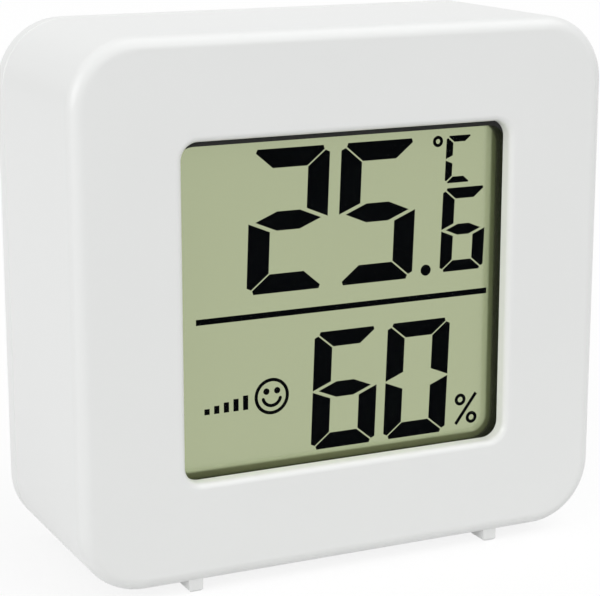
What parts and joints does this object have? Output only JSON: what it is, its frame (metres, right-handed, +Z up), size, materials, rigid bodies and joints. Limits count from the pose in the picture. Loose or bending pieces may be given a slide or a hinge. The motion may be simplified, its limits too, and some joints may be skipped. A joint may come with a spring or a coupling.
{
  "type": "temperature and humidity sensor",
  "caption": "Small rounded white indoor thermometer and hygrometer with a reflective display, four feet, fold-out back stand, bayonet battery door and button.",
  "frame": {"origin": "under the middle of the footprint, on the surface that the feet stand on", "axes": "+X to the viewer's right, +Y from the face to the back, +Z up; the display faces -Y"},
  "size_m": [0.043, 0.017, 0.041],
  "materials": {
    "shell": "fine satin moulded white",
    "button": "satin light grey",
    "foam": "closed-cell black foam",
    "clear_film": "clear gloss film",
    "display_glass": "clear",
    "display_ink": "dark liquid-crystal areas",
    "reflector": "green-grey reflective film",
    "tray": "natural moulded",
    "silicone": "striped elastomer",
    "board": "green solder mask",
    "resin": "black moulded",
    "ceramic_chip": "tan fired body",
    "steel": "nickel plated"
  },
  "bodies": {
    "root": {"front_case": "shell", "rear_cover": "shell", "lcd_gasket": "foam", "lcd_front_polariser": "clear_film", "lcd_front_glass": "display_glass", "lcd_rear_glass": "display_glass", "lcd_segments": "display_ink", "lcd_reflector": "reflector", "lcd_frame": "tray", "zebra_connector": "silicone", "circuit_board": "board", "chip_blob": "resin", "crystal": "steel", "smd_capacitors": "ceramic_chip", "smd_resistors": "resin", "humidity_sensor": "tray", "thermistor": "resin", "tact_switch": "resin", "coin_cell": "steel", "negative_contact": "steel", "positive_contact": "steel", "case_screws": "steel", "board_screws": "steel"},
    "stand": {"stand": "shell"},
    "battery_door": {"battery_door": "shell"},
    "unit_button": {"unit_button": "button", "switch_plunger": "tray"}
  },
  "joints": [
    {"name": "stand_fold", "type": "hinge", "parent": "root", "child": "stand", "pos_m": [0, 0.0075, 0.027], "axis": [1, 0, 0], "range_deg": [0, 60]},
    {"name": "door_turn", "type": "hinge", "parent": "root", "child": "battery_door", "pos_m": [0, 0.0078, 0.0191], "axis": [0, 1, 0], "range_deg": [0, 30]},
    {"name": "button_press", "type": "slide", "parent": "root", "child": "unit_button", "axis": [0, -1, 0], "range_m": [0, 0.0004], "stiffness_N_per_m": 400}
  ]
}
